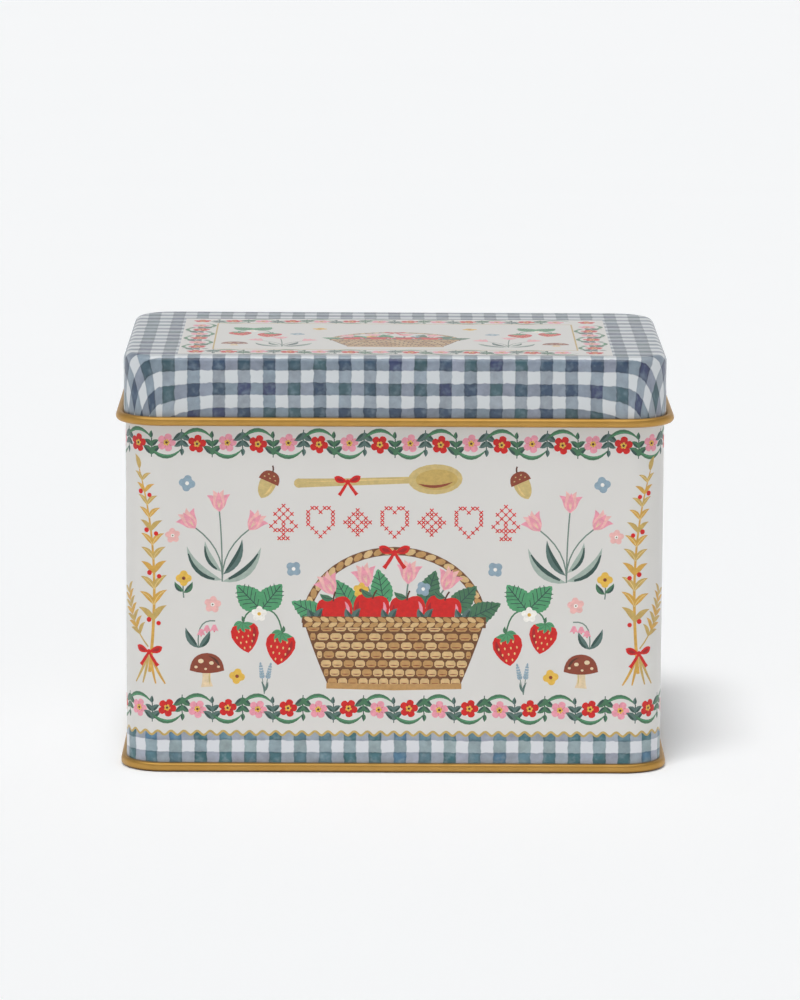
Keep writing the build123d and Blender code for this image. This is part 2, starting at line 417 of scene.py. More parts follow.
def card_finish():
    """Index card stock: off-white, faintly fibrous, ruled in pale blue under a red head line."""
    f = Finish("index card")
    place = f.object_place()
    _, _, z = f.split(place)
    foot, lean = 2.88, math.radians(8)
    rule_pitch, head_line, head_room, half_line = 6.35, 84.5, 3.0, 0.16
    up = (z - foot) / math.cos(lean)
    ruled = abs(up / rule_pitch - f.nearest(up / rule_pitch)) * rule_pitch
    rule = (ruled < half_line) * (up < head_line - head_room)
    head = abs(up - head_line) < half_line
    fibre = f.noise(place, 1.2, 4.0, 0.7)
    paper = f.mix(fibre, srgb("#E9E3D3"), srgb("#F6F2E6"))
    lined = f.mix(rule * 0.7, paper, srgb("#8FB2C8"))
    f.set(base_color=f.mix(head * 0.8, lined, srgb("#CF7B7B")), roughness=0.78 + fibre * 0.1)
    f.set(normal=f.bump(fibre, 0.02, 0.3))
    return f


def guide_finish(name, low, high):
    """Heavy manila stock, flecked with fibres."""
    f = Finish(name)
    place = f.object_place()
    fibre = f.noise(place, 0.8, 5.0, 0.75)
    fleck = f.ramp(f.noise(place, 0.35, 1.0), 0.66, 0.74)
    stock = f.mix(fibre, srgb(low), srgb(high))
    f.set(base_color=f.shade(stock, 1 - fleck * 0.14), roughness=0.7 + fibre * 0.15)
    f.set(normal=f.bump(fibre, 0.03, 0.35))
    return f


# ---------------------------------------------------------------- drawing kit, in millimetres
def curve(start, bend, end, steps):
    """Points along a smooth arc from start to end that leans towards bend."""
    made = []
    for i in range(steps + 1):
        t = i / steps
        a, b, c = (1 - t) ** 2, 2 * t * (1 - t), t * t
        made.append((a * start[0] + b * bend[0] + c * end[0], a * start[1] + b * bend[1] + c * end[1]))
    return made


def arcs(start, *parts):
    """Arcs that run on from one another, each given by its bend, its end and its steps."""
    made = [start]
    for bend, end, steps in parts:
        made += curve(made[-1], bend, end, steps)[1:]
    return made


def mirrored(side):
    """A whole outline from its one side. A point on the middle line is kept once."""
    tiny = 0.001
    return side + [(-x, y) for x, y in side[::-1] if abs(x) > tiny]


def ring(radius, sides, start, squash):
    """Points round an oval."""
    turns = [start + 2 * math.pi * i / sides for i in range(sides)]
    return [(radius * math.cos(a), radius * squash * math.sin(a)) for a in turns]


def lobes(radius, count, depth, points=6, soft=0.55):
    """The outline of a flower of round petals."""
    made = []
    for i in range(count * points):
        a = 2 * math.pi * i / (count * points)
        made.append((a, radius * (1 - depth + depth * abs(math.cos(count * a / 2)) ** soft)))
    return [(r * math.cos(a), r * math.sin(a)) for a, r in made]


class Brush:
    """Where and how large a motif is drawn on the sheet. It collects outlines, each with its ink."""

    def __init__(self, sheet, x=0.0, y=0.0, turn=0.0, size=1.0, side=1):
        self.sheet, self.x, self.y, self.turn, self.size, self.side = sheet, x, y, turn, size, side

    def spot(self, x, y):
        c, s = math.cos(self.turn), math.sin(self.turn)
        x, y = x * self.side * self.size, y * self.size
        return self.x + c * x - s * y, self.y + s * x + c * y

    def at(self, x, y, turn=0.0, size=1.0, side=1):
        """A brush placed from this one: turn in degrees, and side -1 for a mirrored motif."""
        turned = self.turn + self.side * math.radians(turn)
        return Brush(self.sheet, *self.spot(x, y), turned, self.size * size, self.side * side)

    def pair(self):
        """This brush, and the one that draws its mirror image."""
        return self, self.at(0, 0, side=-1)

    def fill(self, outline, ink):
        made = [self.spot(*p) for p in outline]
        area = sum(a[0] * b[1] - b[0] * a[1] for a, b in zip(made, made[1:] + made[:1]))
        self.sheet.append((made if area > 0 else made[::-1], ink))

    def ribbon(self, line, half_widths, ink):
        """A band along a line, with a half width at each of its points."""
        left, right = [], []
        for i, (x, y) in enumerate(line):
            (ax, ay), (bx, by) = line[max(i - 1, 0)], line[min(i + 1, len(line) - 1)]
            length = math.hypot(bx - ax, by - ay)
            nx, ny = (ay - by) / length * half_widths[i], (bx - ax) / length * half_widths[i]
            left.append((x + nx, y + ny))
            right.append((x - nx, y - ny))
        self.fill(left + right[::-1], ink)

    def inlay(self, line, half_widths, shift, share, ink):
        """A narrower band inside a ribbon, moved aside by a share of the ribbon's half width."""
        inner = list(zip(line, half_widths))[1:-1]
        self.ribbon([(x, y + w * shift) for (x, y), w in inner], [w * share for _, w in inner], ink)

    def stroke(self, line, width, ink, thin=0.35):
        """A brush stroke that is full in the middle and thin at both ends."""
        last = len(line) - 1
        swell = [width / 2 * (thin + (1 - thin) * math.sin(math.pi * i / last)) for i in range(last + 1)]
        self.ribbon(line, swell, ink)

    def stem(self, line, width, ink):
        self.ribbon(line, [width / 2] * len(line), ink)

    def oval(self, x, y, radius, ink, squash=1.0, sides=10):
        self.fill([(x + px, y + py) for px, py in ring(radius, sides, 0.3, squash)], ink)

    def leaf(self, x, y, length, width, turn, ink, bend=0.12, vein=None, half=None, fat=0.85, steps=6):
        """A pointed leaf from its foot, with a darker half or a pale vein."""
        b = self.at(x, y, turn)
        line = curve((0, 0), (length / 2, length * bend * 2), (length, 0), steps)
        swell = [width / 2 * math.sin(math.pi * (i / steps) ** fat) + 0.02 for i in range(steps + 1)]
        b.ribbon(line, swell, ink)
        if half:
            b.inlay(line, swell, -0.55, 0.42, half)
        if vein:
            b.stem(line[:-1], min(0.28, width * 0.13), vein)


# ---------------------------------------------------------------- motifs
def petal_flower(b, radius, petal, shade):
    """An open flower with five round petals, a yellow eye and dark stamens."""
    b.fill(lobes(radius, 5, 0.34), petal)
    for i in range(5):
        arm = b.at(0, 0, 360 * (i + 0.5) / 5)
        arm.stroke([(radius * 0.3, 0), (radius * 0.48, 0), (radius * 0.66, 0)], 0.22, shade)
    b.fill(lobes(radius * 0.36, 5, 0.3, 4), "yellow")
    b.oval(0, 0, radius * 0.15, "umber", sides=6)
    for i in range(4):
        b.at(0, 0, 90 * i + 20).oval(radius * 0.27, 0, 0.13, "umber", sides=4)


def sprig(b, ink):
    """A straight sprig: leaves in pairs up a stem, and one at its tip."""
    height, pairs, length, width = 6.4, 2, 4.0, 2.0
    b.stroke([(0, 0), (0.15, height / 2), (0, height)], 0.42, "bottle", 0.7)
    for i in range(pairs):
        size = 1 - 0.4 * i / pairs
        for s in b.at(0, height * (0.12 + 0.78 * i / pairs)).pair():
            s.leaf(0, 0, length * size, width * size, 42, ink, 0.14, half="bottle", steps=5)
    b.leaf(0, height * 0.92, length * 0.62, width * 0.62, 90, ink, 0.05, half="bottle", steps=5)


def border_unit(b, flip):
    """One repeat of the garland: a red and a pink flower between sprigs, each beside a long curved leaf."""
    quarter = BORDER_PITCH / 4
    for x, way, ink in ((0, 1, "leaf"), (-2 * quarter, -1, "slate green")):
        sprig(b.at(x, -4.4 * way * flip, 0 if way * flip > 0 else 180), ink)
    reach, steps = quarter + 0.3, 8
    swell = [0.05 + 0.6 * math.sin(math.pi * (i / steps) ** 0.75) for i in range(steps + 1)]
    for x, lift in ((-quarter, flip), (quarter, -flip)):
        line = curve((x - reach, 1.7 * lift), (x + 0.4, 7.0 * lift), (x + reach, 1.3 * lift), steps)
        b.ribbon(line, swell, "leaf")
        b.inlay(line, swell, -0.5 * lift, 0.22, "green")
    petal_flower(b.at(-quarter, -0.2 * flip, hand.uniform(-14, 14)), 2.9, "red", "crimson")
    petal_flower(b.at(quarter, 0.2 * flip, hand.uniform(-14, 14)), 2.9, "pink", "rose")


def small_flower(b, radius, ink, eye="white", dot=None, petals=4):
    b.fill(lobes(radius, petals, 0.42, 7, 0.6), ink)
    b.oval(0, 0, radius * 0.24, eye, sides=8)
    if dot:
        b.oval(0, 0, radius * 0.11, dot, sides=5)


def stalked_flower(b):
    """A yellow four-petalled flower on a short stalk with two leaves."""
    b.stem(curve((0, -6.2), (0.4, -3), (0, 0), 4), 0.42, "stem")
    b.leaf(0, -4.6, 4.4, 1.7, 128, "leaf", 0.12, half="bottle")
    b.leaf(0, -4.2, 4.2, 1.6, 48, "leaf", -0.12, half="bottle")
    small_flower(b, 2.5, "yellow", "brown", "umber")


def lavender(b):
    """Two stalks of lavender that cross near the foot."""
    for lean in (-9, 10):
        s = b.at(0, 0, lean)
        s.stem([(0, 0), (0, 5), (0, 9.5)], 0.36, "stem")
        s.leaf(0, 0.8, 4.6, 0.9, 90 - 3 * lean, "slate green", 0.08)
        for i in range(5):
            for side in (1, -1):
                s.leaf(0, 6.4 + i * 1.15, 1.7 - 0.18 * i, 1.0, 90 - 38 * side, "blue", 0, steps=3)
        s.leaf(0, 11.6, 1.6, 0.9, 90, "blue", 0, steps=3)


def bells(b):
    """A bowed stem of small pink bells between two broad leaves."""
    b.stem(curve((0, 0), (-1.0, 9.5), (5.2, 8.6), 7), 0.4, "stem")
    b.leaf(0, 0, 7.6, 2.1, 122, "slate green", 0.1, half="bottle")
    b.leaf(0, 0, 6.6, 2.0, 58, "slate green", -0.1, half="bottle")
    for x, y in ((0.8, 6.0), (2.6, 7.2), (4.9, 7.4)):
        bell = [(-0.4, 0), (-1.0, -1.3), (-1.35, -2.1), (-0.6, -1.8), (0, -2.3), (0.6, -1.8), (1.35, -2.1)]
        b.fill([(x + px, y + py) for px, py in bell + [(1.0, -1.3), (0.4, 0)]], "pink")
        b.oval(x, y - 2.2, 0.26, "rose", sides=5)


def tulip(b, height, lean):
    """An open tulip on a bending stem, its foot at the brush."""
    b.stem(curve((0, 0), (0, height * 0.6), (lean, height), 6), 0.5, "stem")
    head = b.at(lean, height, -math.degrees(math.atan2(lean, height)) * 1.3)
    head.leaf(0, -0.5, 7.2, 3.3, 124, "pink", -0.16, fat=0.75)
    head.leaf(0, -0.5, 7.2, 3.3, 56, "pink", 0.16, fat=0.75)
    head.leaf(-0.4, -0.3, 7.6, 3.4, 101, "blush", -0.1, fat=0.7)
    head.leaf(0.4, -0.3, 7.6, 3.4, 79, "blush", 0.1, fat=0.7)
    head.leaf(0, -0.4, 7.0, 2.6, 90, "pink", 0.0, fat=0.65)
    for turn in (78, 90, 102):
        head.at(0, 0.6, turn).stroke([(0, 0), (1.4, 0), (2.8, 0)], 0.22, "cream")


def tulip_clump(b):
    """Three tulips rising from long two-toned leaves."""
    b.leaf(0, 0, 18, 3.4, 138, "sage", 0.16, half="bottle", steps=8)
    b.leaf(0, 0.5, 17, 3.2, 44, "sage", -0.16, half="bottle", steps=8)
    b.leaf(-0.3, 2.5, 14, 2.8, 118, "slate green", 0.12, half="bottle", steps=8)
    b.leaf(0.3, 3.5, 12, 2.6, 62, "sage", -0.12, half="bottle", steps=8)
    tulip(b, 25, 1.0)
    tulip(b.at(0, 1), 17.5, -9.5)
    tulip(b.at(0, 2), 17.0, 9.5)


def strawberry(b):
    """A ripe strawberry that hangs from the brush's place."""
    b.fill(mirrored(arcs((0, 0), ((-5.2, 0.6), (-4.6, -4.2), 4), ((-3.2, -8.4), (0, -10.2), 4))), "red")
    b.ribbon(curve((-3.4, -2.0), (-3.2, -5.4), (-1.6, -7.8), 5), [0.1, 0.5, 0.6, 0.5, 0.3, 0.1], "crimson")
    for row, count in enumerate((3, 4, 3, 2)):
        for i in range(count):
            b.leaf((i - (count - 1) / 2) * 1.9, -2.2 - row * 1.9, 0.9, 0.5, -90, "straw", 0, steps=3)
    for turn in (-12, -48, -90, -132, -168):
        b.leaf(0, 0.2, 3.4, 1.5, turn, "green", 0.12, vein="leaf")
    b.leaf(0, 0.1, 2.4, 1.1, 90, "leaf", 0.1)


def toothed_leaf(b, length, width, ink="green"):
    """A broad leaf with a saw edge and side veins, pointing along the brush."""
    points = 18                 # every other one is the tip of a tooth
    half = []
    for i in range(points + 1):
        t = i / points
        swell = width / 2 * math.sin(math.pi * t ** 0.8)
        half.append((length * t, swell + (0.28 if i % 2 else 0.0)))
    b.fill(half + [(x, -y) for x, y in half[-2:0:-1]], ink)
    b.stem([(0, 0), (length / 2, 0), (length * 0.93, 0)], 0.32, "bottle")
    for i in range(1, 6):
        x = length * i / 7
        reach = width * 0.42 * math.sin(math.pi * (i / 7) ** 0.8)
        for side in (1, -1):
            vein = [(x, 0), (x + reach * 0.45, reach * 0.55 * side), (x + reach * 0.75, reach * side)]
            b.stem(vein, 0.24, "bottle")


def strawberry_bunch(b):
    """Two strawberries on arching stems under two toothed leaves and a white flower."""
    b.stem(curve((0, 0), (-5.5, 1.2), (-6.6, -7.6), 7), 0.5, "leaf")
    b.stem(curve((0, 0), (5.0, 0.8), (5.6, -4.4), 6), 0.5, "leaf")
    toothed_leaf(b.at(0, 0, 128), 10.5, 7.2)
    toothed_leaf(b.at(0, 0, 46), 11.0, 7.4)
    strawberry(b.at(-6.6, -7.4, 8))
    strawberry(b.at(5.6, -4.2, -10, 0.94))
    small_flower(b.at(0.6, -1.2, 20), 2.5, "white", "yellow", "ochre", 5)


def apple(b):
    """A red apple with a leaf."""
    side = ((4.6, 6.0), (5.3, 1.6), 5), ((5.4, -3.6), (2.2, -5.2), 5), ((1.0, -5.6), (0, -4.8), 3)
    b.fill(mirrored(arcs((0, 3.9), *side)), "red")
    b.ribbon(curve((3.4, 2.8), (4.6, 0.6), (3.4, -2.8), 5), [0.08, 0.36, 0.5, 0.45, 0.3, 0.08], "pink")
    b.ribbon(curve((-4.0, 2.2), (-4.8, -1.6), (-2.4, -4.4), 5), [0.1, 0.5, 0.6, 0.6, 0.4, 0.1], "crimson")
    b.stem(curve((0, 3.4), (0.3, 5.0), (1.0, 6.2), 3), 0.5, "umber")
    b.leaf(0.1, 4.2, 4.2, 1.9, 152, "leaf", 0.14, vein="bottle")


def mushroom(b):
    """A brown-capped mushroom, its foot at the brush."""
    b.ribbon(curve((0, 0), (0.3, 3), (0, 5.6), 4), [1.9, 1.45, 1.25, 1.3, 1.5], "cream")
    b.stroke([(-0.9, 0.8), (-0.7, 2.6), (-0.8, 4.6)], 0.4, "tan")
    cap = ((-5.0, 10.6), (0, 10.8), 6), ((5.0, 10.6), (5.4, 5.2), 6), ((0, 3.4), (-5.4, 5.2), 5)
    b.fill(arcs((-5.4, 5.2), *cap)[:-1], "brown")
    b.ribbon(curve((-3.9, 6.4), (-3.2, 9.0), (-0.6, 9.8), 5), [0.05, 0.3, 0.4, 0.3, 0.2, 0.05], "umber")
    for x, y, r in ((-1.4, 7.6, 0.75), (1.9, 8.2, 0.9), (3.4, 6.3, 0.55), (-3.6, 6.4, 0.5), (0.4, 5.7, 0.45)):
        b.oval(x, y, r, "cream", 0.8, 8)


def acorn(b):
    """A tan nut in its brown cup."""
    b.fill(mirrored(curve((-2.6, 0), (-2.8, -5.0), (0, -6.2), 5)), "tan")
    b.ribbon(curve((-1.4, -0.8), (-1.6, -3.2), (-0.6, -4.8), 4), [0.05, 0.3, 0.35, 0.25, 0.05], "straw")
    b.fill(mirrored(curve((-3.3, -0.6), (-3.2, 3.0), (0, 3.0), 5)), "brown")
    for x, y in ((-1.8, 0.6), (0, 0.6), (1.8, 0.6), (-0.9, 1.7), (0.9, 1.7)):
        b.oval(x, y, 0.3, "tan", 0.7, 5)
    b.stem(curve((0, 2.8), (0.2, 4.0), (0.9, 4.6), 3), 0.5, "umber")


def bow(b):
    """A tied red ribbon."""
    for s in b.pair():
        s.ribbon(curve((0.2, -0.2), (1.8, -3.0), (3.6, -5.4), 4), [0.35, 0.6, 0.65, 0.6, 0.8], "red")
        s.fill(arcs((0, 0), ((3.0, 3.8), (5.4, 2.2), 5), ((5.2, -1.6), (0, 0), 5))[:-1], "red")
        s.fill(arcs((1.4, 0.4), ((3.2, 2.2), (4.4, 1.5), 4), ((3.8, -0.2), (1.4, 0.4), 4))[:-1], "crimson")
    b.oval(0, 0, 1.0, "red", 1.15, 8)


def spoon(b):
    """A wooden spoon laid level, its bowl to the right."""
    half, neck = 22.0, 11.0
    b.ribbon([(-half, 0.1), (-half * 0.4, 0), (neck, 0)], [1.35, 1.1, 1.0], "tan")
    b.oval(-half, 0.1, 1.45, "tan")
    b.fill([(neck + 7 + x, y) for x, y in ring(8.0, 20, 0, 0.56)], "tan")
    b.fill([(neck + 7.4 + x, y - 0.1) for x, y in ring(6.2, 18, 0, 0.5)], "gold")
    hollow = curve((neck + 2, -1.2), (neck + 7, -3.2), (neck + 12, -1.0), 6)
    b.ribbon(hollow, [0.05, 0.3, 0.4, 0.42, 0.4, 0.3, 0.05], "brown")
    b.stroke([(-half * 0.9, 0.45), (-half * 0.2, 0.4), (half * 0.4, 0.35)], 0.4, "straw")
    bow(b.at(-half * 0.35, 0, 0, 0.72))


def bay_branch(b):
    """A tall golden branch in leaf that nods outwards, tied low with a red ribbon."""
    height, steps = 64, 14
    main = curve((0, 0), (-4.5, height * 0.62), (3.5, height), steps)
    b.ribbon(main, [0.55 - 0.025 * i for i in range(steps + 1)], "ochre")
    for i in range(3, steps):
        x, y = main[i]
        size = 1.0 - 0.035 * i
        ink, vein = "gold" if i % 2 else "ochre", "straw" if i % 3 else None
        for s, turn in zip(b.at(x, y, -8 + i).pair(), (42, 46)):
            s.leaf(0, 0, 7.4 * size, 2.2 * size, turn, ink, 0.14, vein)
        if i % 3 == 0:
            b.oval(x + 1.5, y + 0.4, 0.85, "red", sides=8)
            b.oval(x - 1.6, y - 0.6, 0.75, "red", sides=8)
    b.leaf(*main[-1], 5.0, 1.8, 70, "gold", 0.1)
    for lean in (-5.0, -2.0, 2.4, 5.2):
        line = curve((lean * 0.1, 6.0), (lean * 0.3, 2.0), (lean, -3.6), 5)
        b.stroke(line, 0.9, "gold" if lean > 0 else "ochre", 0.5)
    twig = curve((0.4, 8), (7.0, 15), (8.6, 24), 8)
    b.stem(twig, 0.5, "gold")
    for i in range(2, 9):
        for s in b.at(*twig[i], -22, 0.72).pair():
            s.leaf(0, 0, 6.4, 1.9, 44, "ochre" if i % 2 else "gold", 0.14)
    bow(b.at(0.2, 6.4, 0, 0.8))


def basket(b):
    """A woven basket of apples and tulips, its foot at the brush."""
    low, high, tall = 20.5, 28.0, 20.0      # half widths at the foot and the rim, and the height
    turns = 26
    angles = [math.pi * i / turns for i in range(turns + 1)]
    hoop = [(27.6 * math.cos(a), tall + 23.0 * math.sin(a)) for a in angles]
    b.ribbon(hoop, [1.3] * len(hoop), "shadow")
    for i in range(turns):
        (x, y), (nx, ny) = hoop[i], hoop[i + 1]
        slant = math.degrees(math.atan2(ny - y, nx - x)) + 24
        b.at((x + nx) / 2, (y + ny) / 2, slant).oval(0, 0, 1.75, "wicker" if i % 2 else "cane", 0.56, 8)
    leaves = (-21, 21, 152), (-12, 23, 120), (-3, 25, 100), (9, 25, 72), (17, 23, 46), (22, 21, 26)
    for x, y, turn in leaves:
        toothed_leaf(b.at(x, y, turn), 12.5, 6.6, "green" if x < 9 else "leaf")
    for x, height, lean in ((-15, 9.5, -4), (-6, 12.0, -2.4), (3.5, 13.0, 0.8), (12, 11.0, 3.6)):
        tulip(b.at(x, tall), height, lean)
    small_flower(b.at(-10.4, 30.5, 10), 2.5, "yellow", "brown", None, 5)
    small_flower(b.at(9.0, 31.0, 30), 2.4, "blue")
    for x, y, turn in ((-18.5, 23.4, 8), (-7.2, 24.2, -6), (4.2, 23.8, 4), (15.2, 23.8, -8)):
        apple(b.at(x, y, turn, 1.06))
    for x in (-24.5, -12.8, -1.4, 9.8, 21.6):
        for turn in (62, 118):
            b.leaf(x, tall + 0.4, 5.0, 2.2, turn, "slate green", 0.1, half="bottle")
    b.fill(mirrored(curve((low, 0), (low + 4.4, tall * 0.5), (high, tall), 6)), "shadow")
    rows, count = 7, 13
    for row in range(rows):
        share = (row + 0.5) / rows
        reach = low + (high - low) * share - 0.2
        pitch = 2 * reach / count
        for i in range(count + row % 2):
            x = -reach + pitch * (i + 0.5 - 0.5 * (row % 2))
            wide = pitch * 0.47
            if row % 2 and i in (0, count):         # every other row has a half block at each end
                wide -= 0.5 * pitch * 0.5
                x += wide if i == 0 else -wide
            block = [(wide * 0.94, 0.5), (wide * 0.6, 1.12), (-wide * 0.6, 1.12), (-wide * 0.94, 0.5)]
            block += [(-px, -py) for px, py in block]
            b.at(x, tall * share).fill(block, "wicker" if hand.random() < 0.6 else "cane")
            b.at(x, tall * share - 0.4).stroke([(-wide * 0.7, 0), (0, -0.1), (wide * 0.7, 0)], 0.34, "brown")
    for y, tilt, inks in ((tall - 0.4, 24, ("cane", "wicker")), (tall + 1.2, -24, ("wicker", "cane"))):
        b.ribbon([(-high - 0.6, y), (high + 0.6, y)], [0.95, 0.95], "shadow")
        for i in range(22):
            x = -high + 2 * high * (i + 0.5) / 22
            b.at(x, y, tilt).oval(0, 0, 1.5, inks[i % 2], 0.5, 8)
    b.ribbon([(-low - 0.6, 0.1), (0, -0.3), (low + 0.6, 0.1)], [0.9, 1.0, 0.9], "cane")
    bow(b.at(0, tall + 22.4, 0, 0.9))


def jug(b):
    """An enamel jug of tulips, its foot at the brush."""
    for turn, length in ((150, 15), (122, 18), (98, 15), (76, 18), (50, 16), (28, 13)):
        ink = "sage" if length > 15 else "slate green"
        b.leaf(0, 22, length, 3.2, turn, ink, 0.1, half="bottle", steps=8)
    for x, height, lean in ((-3, 15, -11), (-1.5, 21, -5), (0.5, 24, 1.5), (2, 20, 8), (3, 12, 13)):
        tulip(b.at(x, 22), height, lean)
    petal_flower(b.at(-7.5, 26.5, 12), 3.2, "red", "crimson")
    petal_flower(b.at(0.6, 28.2, -8), 3.2, "pink", "rose")
    petal_flower(b.at(7.6, 26.0, 30), 3.2, "red", "crimson")
    grip = arcs((9.0, 17.5), ((19.5, 19.0), (17.0, 11.0), 6), ((15.5, 6.0), (9.6, 6.6), 6))
    b.stem(grip, 2.1, "blue")
    wall = arcs((7.2, 0), ((14.2, 7.0), (8.4, 15.0), 7), ((7.2, 18.5), (9.4, 22.5), 4))
    spout = (-10.6, 23.6)
    b.fill(wall + [spout] + [(-x, y) for x, y in wall[-2::-1]], "blue")
    for y, width in ((0.8, 7.6), (21.4, 8.6)):
        b.stem([(-width, y), (0, y - 0.6), (width, y)], 1.0, "white")
    for row, count in enumerate((4, 5, 4, 3)):
        for i in range(count):
            b.oval((i - (count - 1) / 2) * 3.6, 4.2 + row * 3.4, 0.62, "white", sides=7)
    b.ribbon(curve((-9.2, 6.5), (-10.6, 10), (-7.8, 14.2), 5), [0.1, 0.4, 0.5, 0.5, 0.4, 0.1], "white")


STITCHED = {
    "heart": ".xx.xx. x..x..x x.....x x.....x x.....x .x...x. ..x.x.. ...x...",
    "star": "...x... ..xxx.. .x.x.x. xxx.xxx .x.x.x. ..xxx.. ...x...",
    "tree": "...x... ..x.x.. .x.x.x. ..x.x.. .x.x.x. x..x..x .xxxxx. ...x... ..xxx..",
}


def stitches(b, names):
    """A level band of cross-stitched figures, one after another."""
    cell, arm, figure_pitch, gap = 1.28, 1.28 * 0.45, 9, 2
    names = names.split()
    columns = figure_pitch * len(names) - gap
    for n, name in enumerate(names):
        figure = STITCHED[name].split()
        for row, line in enumerate(figure):
            for column, mark in enumerate(line):
                if mark == "x":
                    x = n * figure_pitch + column - (columns - 1) / 2
                    s = b.at(x * cell, ((len(figure) - 1) / 2 - row) * cell)
                    for way in (1, -1):
                        s.stem([(-arm, -arm * way), (arm, arm * way)], 0.36, "red")


# ---------------------------------------------------------------- scenes of the print
def blush_flower(b, radius):
    small_flower(b, radius, "blush", "white", "umber", 5)


def edge_group(b):
    """What grows beside a long side's basket, drawn on its right."""
    tulip_clump(b.at(53.6, 60.5, 0, 0.9))
    strawberry_bunch(b.at(41.5, 51.5))
    small_flower(b.at(64.5, 91.5, 10), 2.6, "blue")
    stalked_flower(b.at(65.6, 61.5))
    mushroom(b.at(58.4, 27.0))
    blush_flower(b.at(56.6, 53.2, 25), 2.7)
    bells(b.at(61.0, 39.4, side=-1))
    lavender(b.at(40.5, 24.8, 2, 0.78))
    blush_flower(b.at(69.0, 75.0, 12), 2.4)
    small_flower(b.at(31.4, 64.6, 40), 2.5, "blue")
    small_flower(b.at(49.0, 30.4, 10), 2.5, "yellow", "brown")


def long_scene(b, names, acorns):
    """The scene of a long side, drawn from the middle of the side at the foot's level."""
    basket(b.at(0, 27.4))
    for s in b.pair():
        edge_group(s)
        if acorns:
            acorn(s.at(39.0, 92.6, 24))
    spoon(b.at(-6.5, 92.4, 2, 1.06))
    stitches(b.at(0, 79.4), names)


def short_scene(b):
    """The scene of a short side."""
    jug(b.at(0, 30.0))
    for s in b.pair():
        strawberry_bunch(s.at(29.0, 86.0, 0, 0.85))
        mushroom(s.at(21.0, 28.0))
        stalked_flower(s.at(27.6, 58.0))
        blush_flower(s.at(31.4, 45.0, 15), 2.5)
        small_flower(s.at(12.0, 92.0, 15), 2.4, "blue")
        acorn(s.at(34.5, 67.5, 24))
        lavender(s.at(32.0, 25.6, -3, 0.85))
    blush_flower(b.at(0, 88.0, 5), 2.6)


# ---------------------------------------------------------------- printed coats
class BodySide:
    """The body's outside as one flat strip: u runs round it from the middle of the front, v is the height."""

    flat_x = wall_x - BODY_CORNER
    flat_y = wall_y - BODY_CORNER
    bend = BODY_CORNER * math.pi / 2
    front_end = flat_x
    side_start = front_end + bend
    side_end = side_start + 2 * flat_y
    back_start = side_end + bend
    around = 2 * (2 * flat_x + 2 * flat_y + 2 * bend)
    side_middle = side_start + flat_y
    back_middle = back_start + flat_x

    def folds(self):
        """Where the strip is creased so that it follows the round corners."""
        parts = 15              # flat parts in a corner
        steps = [self.bend * i / parts for i in range(parts + 1)]
        return [side * (start + step)
                for side in (1, -1) for start in (self.front_end, self.side_end) for step in steps]

    def place(self, u, v, proud):
        """The point and the outward direction at a place on the strip, that far proud of the metal."""
        s, side = abs(u), (1 if u >= 0 else -1)
        if s <= self.front_end:
            x, y, turn = s, -wall_y, -math.pi / 2
        elif s <= self.side_start:
            turn = (s - self.front_end) / BODY_CORNER - math.pi / 2
            x = self.flat_x + BODY_CORNER * math.cos(turn)
            y = -self.flat_y + BODY_CORNER * math.sin(turn)
        elif s <= self.side_end:
            x, y, turn = wall_x, s - self.side_middle, 0.0
        elif s <= self.back_start:
            turn = (s - self.side_end) / BODY_CORNER
            x = self.flat_x + BODY_CORNER * math.cos(turn)
            y = self.flat_y + BODY_CORNER * math.sin(turn)
        else:
            x, y, turn = self.back_middle - s, wall_y, math.pi / 2
        nx, ny = side * math.cos(turn), math.sin(turn)
        return Vector((side * x + nx * proud, y + ny * proud, v)) * MM, Vector((nx, ny, 0.0))


class LidPanel:
    """The flat top of the lid: u to the right, v to the back."""

    def folds(self):
        return []

    def place(self, u, v, proud):
        return Vector((u, v, lid_top + proud)) * MM, Vector((0.0, 0.0, 1.0))


def pairs_from(first, ends):
    """The numbers of points that lie two by two, counted from the first."""
    return [(first + i, first + i + 1) for i in range(0, len(ends), 2)]


def cut(points, edges, outlines):
    """Cuts a plane along edges and outlines: its points, its pieces, and what each came from."""
    inside_only, same_spot, name_sources = 1, 1e-4, True
    made = delaunay_2d_cdt(points, edges, outlines, inside_only, same_spot, name_sources)
    flat, _, pieces, sources, _, owners = made
    return flat, pieces, sources, owners


